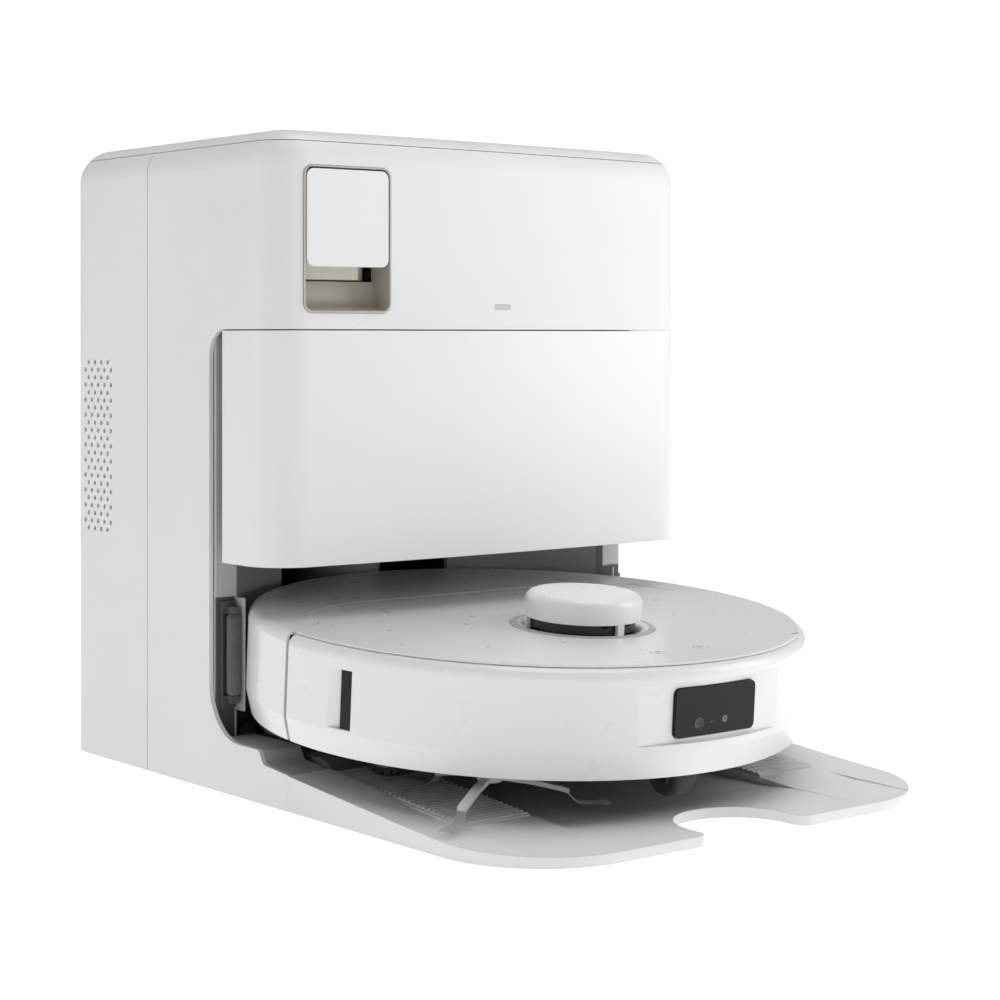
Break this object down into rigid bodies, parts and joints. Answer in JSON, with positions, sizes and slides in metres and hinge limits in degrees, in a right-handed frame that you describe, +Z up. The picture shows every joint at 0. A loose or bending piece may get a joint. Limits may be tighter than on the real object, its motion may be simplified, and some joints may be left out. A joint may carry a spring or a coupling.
{
  "type": "robot vacuum with docking station",
  "caption": "Disc-shaped mopping robot vacuum with a raised scanner, parked in the arched bay of its self-emptying station with a ridged entry ramp.",
  "frame": {"origin": "centre of the overall box on the floor, under the station's feet", "axes": "+Z up, +X to the station's left as it faces out, -Y out of the bay the way the robot drives"},
  "size_m": [0.35, 0.487, 0.406],
  "materials": {
    "white_casing": "fine satin moulding texture",
    "white_panel": "semi-gloss",
    "grey_liner": null,
    "black_back": null,
    "grey_grip": null,
    "grey_pan": null,
    "grey_tray": null,
    "tank_smoke": "smoked transparent plastic",
    "champagne": "metallic paint",
    "lamp_white": "translucent",
    "bag_paper": "non-woven",
    "motor_black": null,
    "contact_metal": null,
    "feet_rubber": null,
    "screw_steel": null,
    "guide_grey": null,
    "robot_white": "satin",
    "robot_black": null,
    "cap_white": "satin",
    "scanner_black": null,
    "window_black": "dark filter window",
    "camera_black": null,
    "wheel_rubber": null,
    "caster_grey": null,
    "arm_grey": null,
    "brush_grey": null,
    "roller_rubber": null,
    "mop_disc_white": null,
    "mop_cloth": "pile",
    "bin_smoke": null,
    "board_green": null,
    "battery_wrap": null,
    "robot_tank": null
  },
  "bodies": {
    "station": {"main_casing": "white_casing", "rear_casing": "white_casing", "front_ramp": "white_casing", "track_grips": "grey_grip", "base_pan": "grey_pan", "wash_tray": "grey_tray", "bay_liner": "grey_liner", "bay_back": "black_back", "dust_duct": "grey_liner", "inner_frame": "grey_pan", "clean_water_tank": "tank_smoke", "dirty_water_tank": "tank_smoke", "recess_bezel": "champagne", "dust_bag": "bag_paper", "suction_motor": "motor_black", "water_pumps": "motor_black", "power_inlet": "motor_black", "dock_contacts": "contact_metal", "rubber_feet": "feet_rubber", "station_screws": "screw_steel"},
    "lid": {"top_lid": "white_panel"},
    "panel": {"front_panel": "white_panel", "status_lamp": "lamp_white"},
    "cartridge": {"detergent_cartridge": "white_panel"},
    "roller_left": {"guide_roller_left": "guide_grey"},
    "roller_right": {"guide_roller_right": "guide_grey"},
    "robot": {"rear_shell": "robot_white", "chassis": "robot_black", "lidar_ring": "champagne", "lidar_base": "robot_black", "lidar_cap": "cap_white", "main_board": "board_green", "dustbin": "bin_smoke", "suction_fan": "motor_black", "battery": "battery_wrap", "robot_water_tank": "robot_tank", "charging_pads": "contact_metal", "cliff_sensors": "window_black", "brush_guard": "robot_black"},
    "bumper_body": {"bumper": "robot_white", "wall_sensor_windows": "window_black", "front_window": "window_black", "camera_module": "camera_black"},
    "cover": {"cover_plate": "robot_white"},
    "scanner": {"lidar_scanner": "scanner_black"},
    "home_button": {"home_key": "robot_white"},
    "power_button": {"power_key": "robot_white"},
    "arm_left": {"wheel_arm_left": "arm_grey"},
    "arm_right": {"wheel_arm_right": "arm_grey"},
    "wheel_left": {"drive_wheel_left": "wheel_rubber"},
    "wheel_right": {"drive_wheel_right": "wheel_rubber"},
    "caster": {"caster_fork": "robot_black"},
    "caster_roll": {"caster_wheel": "caster_grey"},
    "brush": {"side_brush": "brush_grey"},
    "roller_brush": {"main_roller": "roller_rubber"},
    "carriage": {"mop_carriage": "robot_black"},
    "mop_left": {"mop_disc_left": "mop_disc_white", "mop_pad_left": "mop_cloth"},
    "mop_right": {"mop_disc_right": "mop_disc_white", "mop_pad_right": "mop_cloth"}
  },
  "joints": [
    {"name": "robot_drive_out", "type": "slide", "parent": "station", "child": "robot", "axis": [0, -0.9978, -0.067], "range_m": [0, 0.15]},
    {"name": "lid_hinge", "type": "hinge", "parent": "station", "child": "lid", "pos_m": [0, 0.2376, 0.399], "axis": [-1, 0, 0], "range_deg": [0, 75]},
    {"name": "panel_pull", "type": "slide", "parent": "station", "child": "panel", "axis": [0, -1, 0], "range_m": [0, 0.03]},
    {"name": "cartridge_pull", "type": "slide", "parent": "station", "child": "cartridge", "axis": [-0.0466, -0.9989, 0], "range_m": [0, 0.05]},
    {"name": "roller_left_spin", "type": "hinge", "parent": "station", "child": "roller_left", "pos_m": [-0.158, 0.054, 0.08], "axis": [0, 0, 1], "continuous": true},
    {"name": "roller_right_spin", "type": "hinge", "parent": "station", "child": "roller_right", "pos_m": [0.158, 0.054, 0.08], "axis": [0, 0, 1], "continuous": true},
    {"name": "bumper_press", "type": "slide", "parent": "robot", "child": "bumper_body", "axis": [0, 0.9978, 0.067], "range_m": [0, 0.0025], "stiffness_N_per_m": 1500, "springref_m": -0.002},
    {"name": "cover_lift", "type": "slide", "parent": "robot", "child": "cover", "axis": [0, -0.067, 0.9978], "range_m": [0, 0.02]},
    {"name": "scanner_spin", "type": "hinge", "parent": "robot", "child": "scanner", "pos_m": [0, -0.09371, 0.10731], "axis": [0, -0.067, 0.9978], "continuous": true},
    {"name": "home_key_press", "type": "slide", "parent": "robot", "child": "home_button", "axis": [0, 0.067, -0.9978], "range_m": [0, 0.0006], "stiffness_N_per_m": 400, "springref_m": -0.0002},
    {"name": "power_key_press", "type": "slide", "parent": "robot", "child": "power_button", "axis": [0, 0.067, -0.9978], "range_m": [0, 0.0006], "stiffness_N_per_m": 400, "springref_m": -0.0002},
    {"name": "arm_left_lift", "type": "hinge", "parent": "robot", "child": "arm_left", "pos_m": [-0.112, -0.01992, 0.06816], "axis": [-1, 0, 0], "range_deg": [0, 10], "stiffness_Nm_per_rad": 4, "springref_deg": -5.73},
    {"name": "arm_right_lift", "type": "hinge", "parent": "robot", "child": "arm_right", "pos_m": [0.112, -0.01992, 0.06816], "axis": [-1, 0, 0], "range_deg": [0, 10], "stiffness_Nm_per_rad": 4, "springref_deg": -5.73},
    {"name": "wheel_left_spin", "type": "hinge", "parent": "arm_left", "child": "wheel_left", "pos_m": [-0.112, -0.05211, 0.05498], "axis": [1, 0, 0], "continuous": true},
    {"name": "wheel_right_spin", "type": "hinge", "parent": "arm_right", "child": "wheel_right", "pos_m": [0.112, -0.05211, 0.05498], "axis": [1, 0, 0], "continuous": true},
    {"name": "caster_swivel", "type": "hinge", "parent": "robot", "child": "caster", "pos_m": [0, -0.176, 0.04165], "axis": [0, -0.067, 0.9978], "continuous": true},
    {"name": "caster_spin", "type": "hinge", "parent": "caster", "child": "caster_roll", "pos_m": [0, -0.173, 0.02682], "axis": [1, 0, 0], "continuous": true},
    {"name": "side_brush_spin", "type": "hinge", "parent": "robot", "child": "brush", "pos_m": [-0.106, -0.13558, 0.02933], "axis": [0, -0.067, 0.9978], "continuous": true},
    {"name": "main_roller_spin", "type": "hinge", "parent": "robot", "child": "roller_brush", "pos_m": [0, -0.09421, 0.04012], "axis": [1, 0, 0], "continuous": true},
    {"name": "mop_lift", "type": "slide", "parent": "robot", "child": "carriage", "axis": [0, -0.067, 0.9978], "range_m": [0, 0.007]},
    {"name": "mop_left_spin", "type": "hinge", "parent": "carriage", "child": "mop_left", "pos_m": [-0.07, 0.04235, 0.03626], "axis": [0, -0.067, 0.9978], "continuous": true},
    {"name": "mop_right_spin", "type": "hinge", "parent": "carriage", "child": "mop_right", "pos_m": [0.07, 0.04235, 0.03626], "axis": [0, -0.067, 0.9978], "continuous": true}
  ]
}
